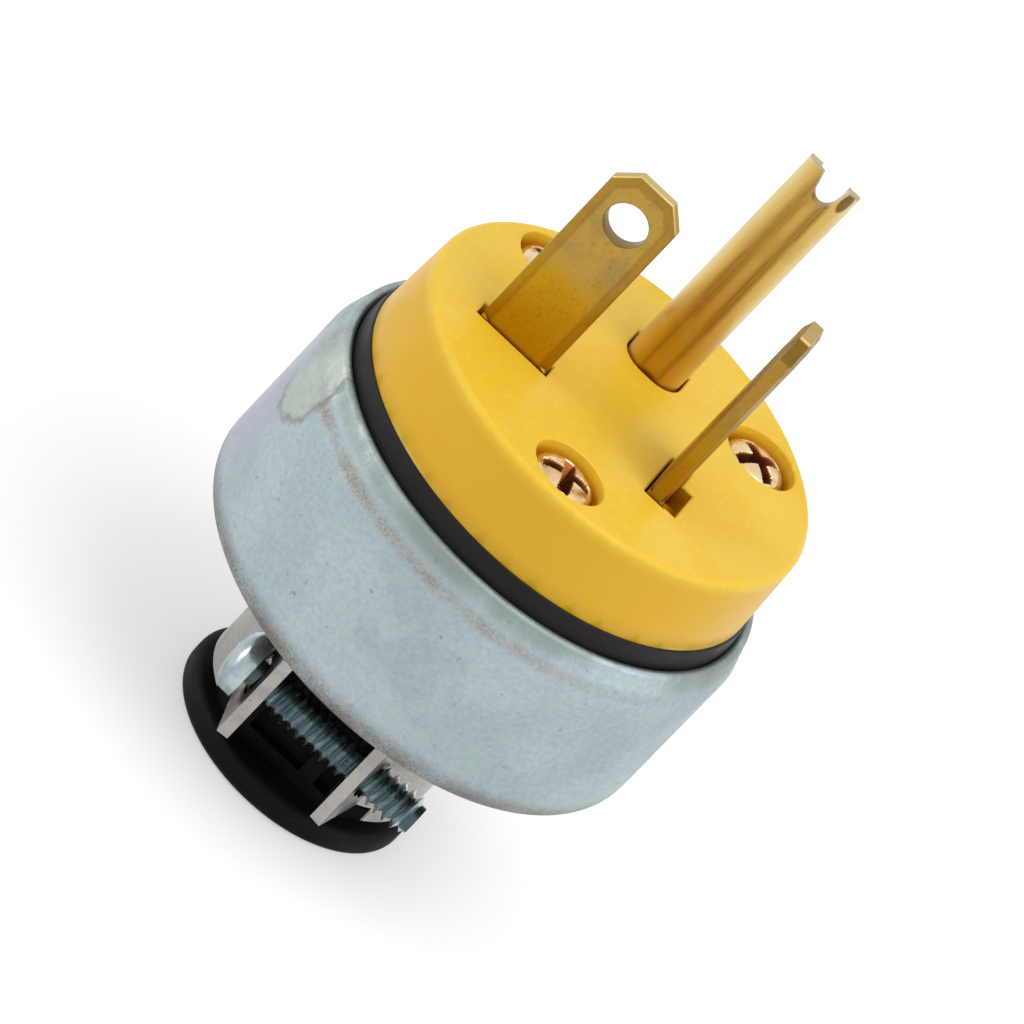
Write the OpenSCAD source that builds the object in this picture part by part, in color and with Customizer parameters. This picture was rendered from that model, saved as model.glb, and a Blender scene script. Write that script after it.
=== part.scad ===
// Straight blade plug: steel shell, moulded front face, two flat blades, a formed ground pin
// and a strap clamp for the cord at the rear.
// Millimetres. The plug stands on its rear flange at z = 0 with its axis on Z, the blades point
// up, +X is towards the line blade and +Y towards the ground pin.

/* [Flat blades] */
// Width of a flat blade
blade_w = 6.35; // [6:0.05:6.6]
// Thickness of a flat blade
blade_t = 1.52; // [1.4:0.02:1.6]
// Length of a flat blade in front of the face
blade_len = 17.15; // [15.5:0.05:18]
// Width of the cut corners at a blade's tip
blade_chamfer_w = 1.6; // [1:0.1:1.8]
// Length of the cut corners at a blade's tip
blade_chamfer_l = 1.65; // [1:0.05:1.9]
// Diameter of the hole near a blade's tip
blade_hole_d = 3.5; // [3:0.1:4.2]
// Distance of that hole's centre from the tip
blade_hole_from_tip = 3.75; // [3.2:0.05:5]
// Distance of the blades' row from the axis
blade_row_y = 4.4; // [4.1:0.1:4.7]
// Distance of the line blade from the axis, across the row
line_blade_x = 6.35; // [6:0.05:6.6]
// Distance of the neutral blade's centre from the axis, along the row
neutral_blade_x = 8.85; // [8.5:0.05:9.1]
// How far a blade's holding shoulders stand out on each side
shoulder_w = 1; // [0.6:0.1:1.2]
// Height of those shoulders
shoulder_h = 1.6; // [1.2:0.1:2.2]
// Width of the coined margin along a blade's edges
coin_w = 0.75; // [0.4:0.05:0.9]
// Depth of that margin at the edge
coin_d = 0.3; // [0.15:0.05:0.4]

/* [Ground pin] */
// Outside width of the formed ground pin
ground_w = 4.83; // [4.6:0.01:4.9]
// Outside depth of the formed ground pin
ground_d = 4; // [3.8:0.1:4.8]
// Thickness of its sheet
ground_t = 1.1; // [0.9:0.05:1.3]
// Outside radius of its two bends
ground_bend_r = 1.9; // [1.5:0.1:2]
// Depth of the groove pressed along its web
ground_groove = 0.2; // [0.1:0.05:0.4]
// Radius of that groove
ground_groove_r = 1.7; // [1:0.1:2.2]
// Length of the ground pin in front of the face
ground_len = 22.2; // [20.6:0.05:22.5]
// Distance from the blades' row to the ground pin's centre
ground_offset = 11.9; // [11.7:0.05:12.1]
// How far its end slants down towards its open back
ground_slant = 1.5; // [1:0.1:2]
// Depth of the notch in its tip
ground_notch = 2.5; // [2:0.1:3]
// Radius of the notch's bottom
ground_notch_r = 0.9; // [0.6:0.05:1.1]
// Half of the notch's width at the tip
ground_notch_half = 1.65; // [1.3:0.05:1.7]
// Distance of the notch from the pin's middle
ground_notch_off = 0.3; // [0:0.05:0.35]
// Radius of the tip's two outer corners
ground_corner_r = 0.46; // [0.3:0.02:0.6]

/* [Steel shell] */
// Outside radius of the shell
shell_r = 19.7; // [19.4:0.1:21]
// Thickness of the shell's sheet
shell_t = 0.9; // [0.7:0.05:1]
// Height of the shell
shell_h = 17.1; // [16.6:0.1:20]
// Outside radius of the shell's rear corner
shell_bend_r = 2.6; // [2:0.1:3.6]
// How far the rim is pressed inwards
rim_press = 0.6; // [0.4:0.05:0.8]
// Height of the pressed zone below the rim
rim_taper_h = 2.5; // [1.5:0.1:3]

/* [Liner] */
// Wall thickness of the insulating liner
liner_wall = 1.55; // [1.2:0.05:1.6]
// Floor thickness of the insulating liner
liner_floor = 1.4; // [1:0.1:1.8]
// Height of the liner's band that shows above the rim
band_h = 1.65; // [1.4:0.05:3]
// How much the band narrows towards its top
band_taper = 0.2; // [0.1:0.05:0.3]
// Radius of the liner's screw bosses
boss_r = 3; // [2.8:0.05:3.1]

/* [Front face] */
// How far the face's foot stands back from the black band
face_inset = 0.15; // [0.1:0.05:0.4]
// How much the face narrows from its foot to its front
face_draft = 0.35; // [0.2:0.05:0.6]
// Rounding of the front edge
face_edge_r = 0.6; // [0.5:0.1:1.2]
// Height of the face above the black band
face_h = 7.05; // [6.5:0.05:8]
// Thickness of the wall behind the front surface
face_wall = 5; // [4.4:0.1:5.5]
// Length of the skirt that plugs into the liner
skirt_len = 3.4; // [2.5:0.1:3.8]
// Wall thickness of that skirt
skirt_wall = 1.2; // [1:0.05:1.4]
// Spare room around a blade in its slot
slot_room = 0.18; // [0.08:0.01:0.2]
// Extra length of the neutral slot at its outer end
neutral_slot_extra = 0.15; // [0.1:0.05:1]
// Width of the relief pocket beside the line blade
relief_w = 1.25; // [1:0.05:2]
// Length of that relief pocket along the blade
relief_l = 4.2; // [2:0.1:5]
// Depth of that relief pocket
relief_depth = 2; // [1:0.1:3]

/* [Terminal block] */
// Height of the terminal block behind the face
block_h = 8; // [7.4:0.1:8.6]
// Length of a terminal's foot beside its blade
foot_len = 6.9; // [6.6:0.05:7]
// Radius of a terminal screw's thread
terminal_r = 1.75; // [1.6:0.05:1.8]
// Length of a terminal screw below its head
terminal_len = 6.4; // [6:0.1:7]
// Radius of a terminal screw's head
terminal_head_r = 2.9; // [2.6:0.1:3]
// Height of a terminal screw's head
terminal_head_h = 1.7; // [1.4:0.1:1.9]
// Thickness of a wire clamp plate
plate_t = 1; // [0.8:0.1:1.2]
// Thickness of the strip that bonds the ground pin to the shell
strip_t = 0.5; // [0.4:0.05:0.7]
// Width of that bonding strip
strip_w = 4; // [3.6:0.1:4.2]
// Height of the strip's bent lip against the shell
strip_lip_h = 3; // [2.2:0.1:3.2]

/* [Assembly screws] */
// Wall of the terminal block outside the screws' passages
screw_wall = 0.7; // [0.4:0.05:0.9]
// Radius of their threads
screw_r = 1.7; // [1.5:0.05:1.8]
// Length of the screws below their heads
screw_len = 15.9; // [14.5:0.1:16.5]
// Radius of their heads
screw_head_r = 2.7; // [2.3:0.05:2.8]
// Height of their heads
screw_head_h = 2.2; // [1.6:0.1:2.3]
// Depth of the recess that each head sits in
screw_recess = 2.4; // [2.3:0.1:3.2]
// Gap around each head in its recess
recess_room = 0.4; // [0.15:0.05:0.5]
// Outside radius of the threaded inserts in the bosses
insert_r = 2.3; // [2.1:0.05:2.4]
// Length of those inserts
insert_len = 6; // [5:0.1:7]
// Span of a cross recess as a share of its head's radius
drive_span_share = 1.2; // [1:0.05:1.4]
// Width of a cross recess as a share of its head's radius
drive_width_share = 0.32; // [0.25:0.01:0.4]
// Depth of a drive recess as a share of its head's height
drive_depth_share = 0.55; // [0.4:0.05:0.7]

/* [Cord bushing] */
// Radius of the rear flange
flange_r = 10.35; // [10:0.05:11]
// Thickness of the rear flange
flange_t = 2.2; // [1.8:0.1:2.8]
// Rounding of the flange's edges
flange_edge_r = 0.7; // [0.4:0.1:0.8]
// Radius of the bushing's neck
neck_r = 8.55; // [8.3:0.05:8.7]
// Length of the neck between the flange and the shell
neck_len = 13; // [12:0.1:14]
// Radius of the passage for the cord
cord_r = 5.5; // [4.5:0.1:6]
// How far the collar inside the shell stands out of the neck
collar_w = 1.3; // [0.9:0.1:1.6]
// Height of that collar
collar_h = 1.3; // [1:0.1:1.6]
// Distance of the neck's flat from the axis, behind the clamp screw
neck_flat_y = 7.2; // [7:0.05:7.5]
// Width of the slot that thins the neck where the clamp closes
neck_slot_w = 5; // [4:0.1:5.4]
// How far that slot's middle lies from the axis, towards the screw's head
neck_slot_shift = 1.1; // [0.8:0.1:1.2]
// Width of the rib between that slot and the narrow one
neck_rib_w = 1.4; // [1.2:0.1:1.5]
// Width of the narrow slot beside it
neck_side_slot_w = 1.3; // [1:0.1:1.5]
// Thickness of the wall left behind both slots
neck_web_t = 0.6; // [0.4:0.05:1]

/* [Cord clamp] */
// Thickness of the clamp strap's sheet
strap_t = 1; // [0.8:0.05:1.1]
// Height of the strap's band
strap_h = 9.7; // [9:0.1:10.2]
// Distance of the band from the flange
strap_gap = 1.1; // [0.8:0.1:1.3]
// Distance between the strap's two ears at the band
ear_gap = 10.55; // [10.2:0.05:10.9]
// Height of an ear
ear_h = 8.3; // [7.8:0.1:8.8]
// Width of an ear in front of the clamp screw
ear_margin = 1.4; // [0.8:0.05:1.6]
// How far each ear leans towards the other, in degrees
ear_lean = 10; // [6:0.5:11]
// Gap between the clamp screw's head and the band
clamp_head_room = 0.2; // [0.15:0.05:0.6]
// Radius of the clamp screw's thread
clamp_screw_r = 1.75; // [1.5:0.05:1.8]
// Length of the clamp screw below its head
clamp_screw_len = 16.4; // [15:0.1:17]
// Radius of the clamp screw's head
clamp_head_r = 2.75; // [2.5:0.05:2.8]
// Height of the clamp screw's head
clamp_head_h = 2.1; // [1.7:0.1:2.4]

/* [Fits] */
// Gap between pieces that are pressed or slid together
fit = 0.05; // [0.02:0.01:0.08]
// Gap around a screw in a plain hole
screw_room = 0.15; // [0.1:0.01:0.2]

/* [Hidden] */
$fn = 64;
// Overshoot of a cut past the face that it opens
cut = 1;
shell_z = flange_t + neck_len;
rim_r = shell_r - rim_press;
crease_z = shell_z + shell_h - rim_taper_h;
rim_z = shell_z + shell_h;
lip_r = shell_t / 2;
liner_z = shell_z + shell_t;
liner_floor_z = liner_z + liner_floor;
liner_r = shell_r - shell_t - fit;
liner_in_r = liner_r - liner_wall;
band_z = rim_z + band_h;
band_r = rim_r - shell_t - fit;
face_foot_r = band_r - band_taper - face_inset;
face_front_r = face_foot_r - face_draft;
face_z = band_z + face_h;
face_back_z = face_z - face_wall;
skirt_r = liner_in_r - fit;
skirt_z = band_z - skirt_len;
cavity_r = skirt_r - skirt_wall;
block_r = cavity_r - fit;
block_z = face_back_z - block_h;
foot_z = block_z - blade_t;
hole_r = terminal_r + screw_room;
passage_r = screw_r + screw_room;
screw_circle_r = block_r - screw_wall - passage_r;
recess_r = screw_head_r + recess_room;
screw_seat_z = face_z - screw_recess;
screw_angles = [272, 38.5, 142];
ground_y = ground_offset - blade_row_y;
ground_web_y = ground_y - ground_d / 2;
ground_tip_z = face_z + ground_len;
line_at = [line_blade_x, -blade_row_y];
neutral_at = [-neutral_blade_x, -blade_row_y];
terminal_reach = (blade_t + foot_len) / 2;
line_terminal = line_at + [terminal_reach, 0];
neutral_terminal = neutral_at + [0, terminal_reach];
ground_terminal = [0, ground_web_y - foot_len / 2];
strip_z = foot_z - strip_t;
strip_end_y = sqrt(pow(shell_r - shell_t, 2) - pow(strip_w / 2, 2)) - fit;
strap_in_r = neck_r + fit;
strap_r = strap_in_r + strap_t;
strap_z = flange_t + strap_gap;
ear_z = strap_z + strap_h - ear_h;
ear_x = ear_gap / 2;
ear_out_x = ear_x + strap_t;
ear_root_y = sqrt(pow(strap_r - strap_t / 2, 2) - pow(ear_x + strap_t / 2, 2));
band_front_y = sqrt(pow(strap_r, 2) - pow(ear_out_x, 2));
clamp_screw_y = band_front_y + clamp_head_r + clamp_head_room;
clamp_screw_z = ear_z + ear_h / 2;
clamp_seat_x = ear_out_x - tan(ear_lean) * (clamp_screw_y - clamp_head_r - ear_root_y) + fit;
ear_reach = clamp_screw_y + clamp_screw_r + ear_margin;
bushing_top_z = liner_floor_z + collar_h;
neck_slot_x = -neck_slot_shift - neck_slot_w / 2;
neck_side_slot_x = neck_slot_x + neck_slot_w + neck_rib_w;
neck_slot_d = neck_r - cord_r - neck_web_t;

// Half section of a cup's outside: a wall of radius r, a floor at 0 and a rounded corner.
module cup_section(r, h, bend) {
    square([r - bend, h]);
    translate([0, bend]) square([r, h - bend]);
    translate([r - bend, bend]) circle(bend);
}

// Screw head with a straight side and a shallow dome, seated on z = 0.
module dome_head(r, h, rise) {
    dome_r = (r * r + rise * rise) / (2 * rise);
    rotate_extrude() intersection() {
        translate([0, h - dome_r]) circle(dome_r);
        square([r, h]);
    }
}

// Two crossed slots in the top of a head that is seated on z = 0.
module cross_recess(head_r, head_h) {
    span = head_r * drive_span_share;
    w = head_r * drive_width_share;
    depth = head_h * drive_depth_share;
    for (turn = [0, 90])
        rotate(turn) translate([-span / 2, -w / 2, head_h - depth]) cube([span, w, depth + cut]);
}

// Places its children at the three assembly screws.
module at_screws() {
    for (angle = screw_angles)
        rotate(angle) translate([screw_circle_r, 0, 0]) children();
}

// Drawn steel cup with its rim pressed inwards over the liner.
module steel_shell() {
    taper_h = shell_h - rim_taper_h;
    color("lightsteelblue") translate([0, 0, shell_z]) rotate_extrude() {
        difference() {
            cup_section(shell_r, taper_h, shell_bend_r);
            translate([0, shell_t])
                cup_section(shell_r - shell_t, taper_h, shell_bend_r - shell_t);
            translate([0, -cut]) square([strap_in_r, shell_t + 2 * cut]);
        }
        polygon([[shell_r - shell_t, taper_h], [shell_r, taper_h],
            [rim_r, shell_h - lip_r], [rim_r - shell_t, shell_h - lip_r]]);
        translate([rim_r - lip_r, shell_h - lip_r]) circle(lip_r);
    }
}

// Outside of the liner, from its floor to the band that shows.
module liner_section() {
    cup_section(liner_r, crease_z - liner_z, shell_bend_r - shell_t);
    polygon([[0, crease_z - liner_z], [liner_r, crease_z - liner_z],
        [band_r, rim_z - lip_r - liner_z], [band_r, rim_z - liner_z],
        [band_r - band_taper, band_z - liner_z], [0, band_z - liner_z]]);
}

// Moulded insulating cup that lines the shell and carries the screw bosses.
module insulating_liner() {
    boss_h = block_z - liner_floor_z;
    color("dimgray") difference() {
        union() {
            translate([0, 0, liner_z]) rotate_extrude() difference() {
                liner_section();
                translate([0, liner_floor]) square([liner_in_r, band_z]);
                translate([0, -cut]) square([strap_in_r, liner_floor + 2 * cut]);
            }
            at_screws() translate([0, 0, liner_floor_z - liner_floor / 2]) {
                cylinder(r = boss_r, h = boss_h + liner_floor / 2);
                translate([0, -boss_r / 2, 0])
                    cube([liner_in_r + liner_wall / 2 - screw_circle_r, boss_r, boss_h]);
            }
        }
        at_screws() translate([0, 0, liner_floor_z])
            cylinder(r = insert_r + fit, h = boss_h + cut);
        translate([-strip_w / 2 - screw_room, liner_in_r - cut, strip_z - screw_room])
            cube([strip_w + 2 * screw_room, liner_wall + 2 * cut, strip_lip_h + 2 * screw_room]);
    }
}

// Slot around a flat blade, with spare room on all sides.
module blade_slot(room, low_z, high_z) {
    translate([-blade_w / 2 - room, -blade_t / 2 - room, low_z])
        cube([blade_w + 2 * room, blade_t + 2 * room, high_z - low_z]);
}

// Outline of the ground pin's opening: two bends in front, closed across its back.
module ground_outline(room) {
    half_w = ground_w / 2 + room;
    half_d = ground_d / 2 + room;
    bend = ground_bend_r + room;
    translate([bend - half_w, -half_d]) square([2 * (half_w - bend), 2 * half_d]);
    translate([-half_w, bend - half_d]) square([2 * half_w, 2 * half_d - bend]);
    for (side = [-1, 1])
        translate([side * (half_w - bend), bend - half_d]) circle(bend);
}

// Moulded yellow front with the blade slots and three screw recesses.
module front_face() {
    color("gold") difference() {
        rotate_extrude() {
            translate([cavity_r, skirt_z]) square([skirt_wall, face_back_z - skirt_z]);
            polygon([[cavity_r, band_z], [face_foot_r, band_z],
                [face_front_r, face_z - face_edge_r], [0, face_z - face_edge_r],
                [0, face_back_z], [cavity_r, face_back_z]]);
            translate([face_front_r - face_edge_r, face_z - face_edge_r]) circle(face_edge_r);
            translate([0, face_z - face_edge_r]) square([face_front_r - face_edge_r, face_edge_r]);
        }
        translate(line_at) rotate(-90) blade_slot(slot_room, face_back_z - cut, face_z + cut);
        translate(neutral_at) blade_slot(slot_room, face_back_z - cut, face_z + cut);
        translate(neutral_at + [-neutral_slot_extra, 0])
            blade_slot(slot_room, face_z - relief_depth, face_z + cut);
        translate(line_at + [0, -blade_w / 2]) translate([0, 0, face_z - relief_depth])
            cube([blade_t / 2 + relief_w, relief_l, relief_depth + cut]);
        translate([0, ground_y, face_back_z - cut])
            linear_extrude(face_wall + 2 * cut) ground_outline(slot_room);
        at_screws() {
            translate([0, 0, face_back_z - cut]) cylinder(r = passage_r, h = face_wall + 2 * cut);
            translate([0, 0, screw_seat_z]) cylinder(r = recess_r, h = screw_recess + cut);
        }
    }
}

// Moulded block behind the face that holds the blades and carries the terminals.
module terminal_block() {
    block_top_z = block_z + block_h;
    color("saddlebrown") difference() {
        translate([0, 0, block_z]) cylinder(r = block_r, h = block_h);
        for (seat = [[line_at, -90], [neutral_at, 0]])
            translate(seat[0]) rotate(seat[1]) {
                blade_slot(slot_room, block_z - cut, block_top_z + cut);
                translate([-blade_w / 2 - shoulder_w - slot_room, -blade_t / 2 - slot_room,
                    block_top_z - shoulder_h])
                    cube([blade_w + 2 * (shoulder_w + slot_room), blade_t + 2 * slot_room,
                        shoulder_h + cut]);
            }
        translate([0, ground_y, block_z - cut])
            linear_extrude(block_h + 2 * cut) ground_outline(slot_room);
        for (at = [line_terminal, neutral_terminal, ground_terminal])
            translate([at[0], at[1], block_z - cut])
                cylinder(r = hole_r, h = terminal_len + cut);
        at_screws() translate([0, 0, block_z - cut]) cylinder(r = passage_r, h = block_h + 2 * cut);
    }
}

// Wedges that coin the margins on the +Y side of a blade in front of the face.
module coin_cuts() {
    half = blade_w / 2;
    surface = blade_t / 2;
    tip_z = face_z + blade_len;
    middle_z = face_z + blade_len / 2;
    corner_z = tip_z - blade_chamfer_l;
    corner = atan2(blade_chamfer_w, blade_chamfer_l);
    edges = [[half, middle_z, 0, blade_len], [-half, middle_z, 180, blade_len],
        [0, tip_z, 90, 2 * blade_w], [half, corner_z, corner, 2 * blade_w],
        [-half, corner_z, 180 - corner, 2 * blade_w]];
    for (edge = edges)
        translate([edge[0], 0, edge[1]]) rotate([0, -edge[2], 0])
            linear_extrude(edge[3], center = true)
                polygon([[-coin_w, surface], [cut, surface - coin_d * (1 + cut / coin_w)],
                    [cut, surface + cut], [-coin_w, surface + cut]]);
}

// Flat blade with cut tip corners, a hole, holding shoulders and a terminal foot towards +Y.
module flat_blade() {
    half = blade_w / 2;
    wide = half + shoulder_w;
    tip_z = face_z + blade_len;
    shoulder_z = face_back_z - shoulder_h;
    color("darkgoldenrod") {
        difference() {
            rotate([90, 0, 0]) linear_extrude(blade_t, center = true) difference() {
                polygon([[-half, foot_z], [half, foot_z], [half, shoulder_z], [wide, shoulder_z],
                    [wide, face_back_z], [half, face_back_z], [half, tip_z - blade_chamfer_l],
                    [half - blade_chamfer_w, tip_z], [blade_chamfer_w - half, tip_z],
                    [-half, tip_z - blade_chamfer_l], [-half, face_back_z], [-wide, face_back_z],
                    [-wide, shoulder_z], [-half, shoulder_z]]);
                translate([0, tip_z - blade_hole_from_tip]) circle(d = blade_hole_d);
            }
            for (turn = [0, 180])
                rotate(turn) coin_cuts();
        }
        translate([0, 0, foot_z]) difference() {
            translate([-half, 0, 0]) cube([blade_w, blade_t / 2 + foot_len, blade_t]);
            translate([0, terminal_reach, -cut]) cylinder(r = hole_r, h = blade_t + 2 * cut);
        }
    }
}

module line_blade() {
    translate(line_at) rotate(-90) flat_blade();
}

module neutral_blade() {
    translate(neutral_at) flat_blade();
}

// Section of the ground pin: a web in front with a pressed groove, and two legs.
module ground_section() {
    inside_r = ground_w / 2 - ground_t;
    difference() {
        ground_outline(0);
        translate([0, ground_t + inside_r - ground_d / 2]) {
            circle(inside_r);
            translate([-inside_r, 0]) square([2 * inside_r, ground_d]);
        }
        translate([0, ground_groove - ground_groove_r - ground_d / 2]) circle(ground_groove_r);
    }
}

// Front view of the ground pin: an end with round corners and the notch in it.
module ground_front_view() {
    corner_x = ground_w / 2 - ground_corner_r;
    corner_z = ground_tip_z - ground_corner_r;
    notch_z = ground_tip_z - ground_notch + ground_notch_r;
    difference() {
        union() {
            translate([-ground_w / 2, foot_z]) square([ground_w, corner_z - foot_z]);
            translate([-corner_x, foot_z]) square([2 * corner_x, ground_tip_z - foot_z]);
            for (side = [-1, 1])
                translate([side * corner_x, corner_z]) circle(ground_corner_r);
        }
        translate([ground_notch_off, 0]) {
            translate([0, notch_z]) circle(ground_notch_r);
            polygon([[-ground_notch_r, notch_z], [ground_notch_r, notch_z],
                [ground_notch_half, ground_tip_z + cut], [-ground_notch_half, ground_tip_z + cut]]);
        }
    }
}

// Side view of the ground pin, with its end slanting down towards the back.
module ground_side_view() {
    half_d = ground_d / 2;
    polygon([[-half_d, foot_z], [half_d, foot_z],
        [half_d, ground_tip_z - ground_slant], [-half_d, ground_tip_z]]);
}

// Ground pin formed from sheet, open at its back, with a terminal foot towards the axis.
module ground_pin() {
    color("darkgoldenrod") {
        translate([0, ground_y, 0]) intersection() {
            translate([0, 0, foot_z]) linear_extrude(ground_tip_z - foot_z) ground_section();
            rotate([90, 0, 0]) linear_extrude(2 * ground_d, center = true) ground_front_view();
            rotate([90, 0, 90]) linear_extrude(2 * ground_w, center = true) ground_side_view();
        }
        difference() {
            translate([-ground_w / 2, ground_web_y - foot_len, foot_z])
                cube([ground_w, foot_len + ground_bend_r, blade_t]);
            translate([ground_terminal[0], ground_terminal[1], foot_z - cut])
                cylinder(r = hole_r, h = blade_t + 2 * cut);
        }
    }
}

// Plate that presses a wire against a terminal's foot, with its top on z = 0.
module wire_plate(w, l) {
    difference() {
        translate([-w / 2, -l / 2, -plate_t]) cube([w, l, plate_t]);
        translate([0, 0, -plate_t - cut]) cylinder(r = hole_r, h = plate_t + 2 * cut);
    }
}

module line_wire_clamp() {
    color("goldenrod") translate([line_terminal[0], line_terminal[1], foot_z])
        wire_plate(foot_len - blade_t / 2, blade_w);
}

module neutral_wire_clamp() {
    color("silver") translate([neutral_terminal[0], neutral_terminal[1], foot_z])
        wire_plate(blade_w, foot_len - blade_t / 2);
}

module ground_wire_clamp() {
    color("goldenrod") translate([ground_terminal[0], ground_terminal[1], strip_z])
        wire_plate(ground_w, foot_len - blade_t / 2);
}

// Terminal screw driven upwards, with its head under a wire plate whose bottom is at seat_z.
module terminal_screw(at, seat_z) {
    translate([at[0], at[1], seat_z]) difference() {
        union() {
            cylinder(r = terminal_r, h = terminal_len);
            rotate([180, 0, 0]) dome_head(terminal_head_r, terminal_head_h, terminal_head_h / 3);
        }
        rotate([180, 0, 0]) cross_recess(terminal_head_r, terminal_head_h);
    }
}

module line_terminal_screw() {
    color("goldenrod") terminal_screw(line_terminal, foot_z - plate_t);
}

module neutral_terminal_screw() {
    color("silver") terminal_screw(neutral_terminal, foot_z - plate_t);
}

module ground_terminal_screw() {
    color("seagreen") terminal_screw(ground_terminal, strip_z - plate_t);
}

// Strip clamped to the ground pin's foot that runs out through the liner to the shell.
module bonding_strip() {
    start_y = ground_web_y - foot_len;
    color("goldenrod") translate([-strip_w / 2, 0, strip_z]) {
        difference() {
            translate([0, start_y, 0]) cube([strip_w, strip_end_y - start_y, strip_t]);
            translate([strip_w / 2, ground_terminal[1], -cut])
                cylinder(r = hole_r, h = strip_t + 2 * cut);
        }
        translate([0, strip_end_y - strip_t, 0]) cube([strip_w, strip_t, strip_lip_h]);
    }
}

// Threaded tubes pressed into the liner's bosses, flush with their tops.
module threaded_inserts() {
    color("goldenrod") at_screws() translate([0, 0, block_z - insert_len]) difference() {
        cylinder(r = insert_r, h = insert_len);
        translate([0, 0, -cut]) cylinder(r = screw_r + fit, h = insert_len + 2 * cut);
    }
}

// Cross-drive screws that draw the face and the block down onto the bosses.
module assembly_screws() {
    color("peru") at_screws() translate([0, 0, screw_seat_z]) difference() {
        union() {
            translate([0, 0, -screw_len]) cylinder(r = screw_r, h = screw_len);
            dome_head(screw_head_r, screw_head_h, screw_head_h / 2);
        }
        cross_recess(screw_head_r, screw_head_h);
    }
}

// Flexible flanged tube that the cord passes through, thinned where the clamp closes on it.
module cord_bushing() {
    flat_h = neck_len - 2 * fit;
    color("black") difference() {
        rotate_extrude() {
            square([flange_r - flange_edge_r, flange_t]);
            translate([0, flange_edge_r]) square([flange_r, flange_t - 2 * flange_edge_r]);
            for (level = [flange_edge_r, flange_t - flange_edge_r])
                translate([flange_r - flange_edge_r, level]) circle(flange_edge_r);
            square([neck_r, bushing_top_z]);
            translate([0, liner_floor_z]) square([neck_r + collar_w, collar_h]);
        }
        translate([0, 0, -cut]) cylinder(r = cord_r, h = bushing_top_z + 2 * cut);
        translate([-ear_x, -neck_r - cut, flange_t])
            cube([ear_gap, neck_r + cut - neck_flat_y, flat_h]);
        translate([neck_slot_x, -neck_r, flange_t + strap_gap])
            cube([neck_slot_w, neck_slot_d, ear_h]);
        translate([neck_side_slot_x, -neck_r, flange_t + strap_gap])
            cube([neck_side_slot_w, neck_slot_d, ear_h]);
    }
}

// Steel strap around the neck, with two leaning ears that the clamp screw draws together.
module cord_clamp() {
    color("darkgray") difference() {
        union() {
            translate([0, 0, strap_z]) linear_extrude(strap_h) difference() {
                circle(strap_r);
                circle(strap_in_r);
                translate([-ear_x, -strap_r - cut]) square([ear_gap, strap_r]);
            }
            for (side = [-1, 1])
                translate([side * (ear_x + strap_t / 2), -ear_root_y, ear_z])
                    rotate(-side * ear_lean)
                        translate([-strap_t / 2, ear_root_y - ear_reach, 0])
                            cube([strap_t, ear_reach - ear_root_y, ear_h]);
        }
        translate([-ear_x - 2 * strap_t, -strap_r, strap_z - cut])
            cube([ear_gap + 4 * strap_t, strap_r / 2, ear_z - strap_z + cut]);
        translate([-strap_r, -clamp_screw_y, clamp_screw_z]) rotate([0, 90, 0])
            cylinder(r = clamp_screw_r + fit, h = 2 * strap_r);
    }
}

// Pan head screw through both ears, tapped into the ear on the +X side.
module clamp_screw() {
    slot_w = clamp_screw_r / 2;
    color("silver") translate([-clamp_seat_x, -clamp_screw_y, clamp_screw_z])
        rotate([0, 90, 0]) difference() {
            union() {
                cylinder(r = clamp_screw_r, h = clamp_screw_len);
                rotate([180, 0, 0]) dome_head(clamp_head_r, clamp_head_h, clamp_head_h / 2);
            }
            translate([-slot_w / 2, -clamp_head_r - cut, -clamp_head_h - cut])
                cube([slot_w, 2 * (clamp_head_r + cut), clamp_head_h * drive_depth_share + cut]);
        }
}

cord_bushing();
cord_clamp();
clamp_screw();
steel_shell();
insulating_liner();
terminal_block();
front_face();
line_blade();
neutral_blade();
ground_pin();
line_wire_clamp();
neutral_wire_clamp();
ground_wire_clamp();
line_terminal_screw();
neutral_terminal_screw();
ground_terminal_screw();
bonding_strip();
threaded_inserts();
assembly_screws();
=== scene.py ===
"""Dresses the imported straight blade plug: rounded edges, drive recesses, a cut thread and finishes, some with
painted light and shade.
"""

import logging
import math
from dataclasses import dataclass
from enum import Enum
from typing import Any, Callable

import bmesh
import bpy
from mathutils import Matrix, Vector


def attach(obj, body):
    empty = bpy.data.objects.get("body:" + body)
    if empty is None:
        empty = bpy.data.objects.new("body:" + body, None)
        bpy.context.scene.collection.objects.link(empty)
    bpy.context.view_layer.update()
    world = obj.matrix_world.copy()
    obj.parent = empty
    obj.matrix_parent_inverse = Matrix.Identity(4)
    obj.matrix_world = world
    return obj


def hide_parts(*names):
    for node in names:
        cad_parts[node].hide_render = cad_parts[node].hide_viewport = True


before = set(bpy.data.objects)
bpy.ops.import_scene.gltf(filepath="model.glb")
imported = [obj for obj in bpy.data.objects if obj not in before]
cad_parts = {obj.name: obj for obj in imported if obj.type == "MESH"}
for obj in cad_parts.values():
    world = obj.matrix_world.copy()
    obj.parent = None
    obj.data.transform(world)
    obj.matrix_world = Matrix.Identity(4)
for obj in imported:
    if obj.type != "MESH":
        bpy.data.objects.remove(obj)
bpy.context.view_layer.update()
LOG = logging.getLogger("plug")
BODY = "root"

Colour = tuple[float, float, float, float]
Pair = tuple[float, float]
Triple = tuple[float, float, float]
Socket = bpy.types.NodeSocket
Settings = dict[str, Any] | None
Inputs = dict[str | int, Any] | None

MATH = "ShaderNodeMath"
VECTOR_MATH = "ShaderNodeVectorMath"
NOISE = "ShaderNodeTexNoise"
SPLIT = "ShaderNodeSeparateXYZ"
MIX_COLOUR = {"data_type": "RGBA"}
# Values of a pattern between which a finish runs from its lower to its higher roughness.
ROUGH_FROM: Pair = (0.3, 0.7)
# Millimetres: a mask that is stretched this far has no end along that axis.
ENDLESS = 1.0e6
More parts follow.
